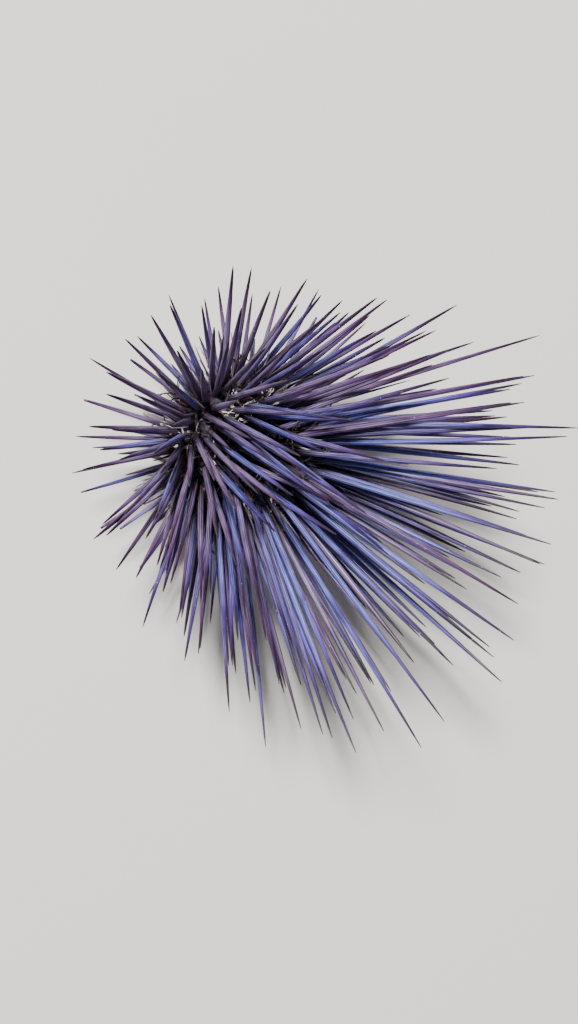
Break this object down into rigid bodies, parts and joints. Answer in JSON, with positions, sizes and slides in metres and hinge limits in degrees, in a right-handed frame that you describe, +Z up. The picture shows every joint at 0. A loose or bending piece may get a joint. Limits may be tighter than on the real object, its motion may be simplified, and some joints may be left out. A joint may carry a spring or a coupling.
{
  "type": "needle-spined burrowing sea urchin",
  "caption": "Life-size burrowing sea urchin standing on short under-spines, its long needle spines fanned out and leaning to one side.",
  "frame": {"origin": "bottom centre of the whole animal's bounding box, on the floor that its foot spines stand on", "axes": "+Z up through the test from mouth to anus, +Y to the open side that the fan of long spines leans to, +X to the right of a viewer on the closed side"},
  "size_m": [0.0938, 0.0974, 0.0717],
  "materials": {
    "spined_shell": "slate violet calcite spines, finely ridged with a soft sheen, dark purple towards the tips, over black-purple skin",
    "apical_plate": "black-purple skin over small calcite plates, satin",
    "mouth_skin": "wrinkled maroon skin, satin",
    "tooth": "smooth ivory calcite"
  },
  "bodies": {
    "root": {"interambulacrum_1": "spined_shell", "interambulacrum_2": "spined_shell", "interambulacrum_3": "spined_shell", "interambulacrum_4": "spined_shell", "interambulacrum_5": "spined_shell", "ambulacrum_1": "spined_shell", "ambulacrum_2": "spined_shell", "ambulacrum_3": "spined_shell", "ambulacrum_4": "spined_shell", "ambulacrum_5": "spined_shell", "genital_plate_1": "apical_plate", "genital_plate_2": "apical_plate", "genital_plate_3": "apical_plate", "genital_plate_4": "apical_plate", "genital_plate_5": "apical_plate", "periproct": "apical_plate", "peristome": "mouth_skin", "tooth_1": "tooth", "tooth_2": "tooth", "tooth_3": "tooth", "tooth_4": "tooth", "tooth_5": "tooth"}
  },
  "joints": []
}
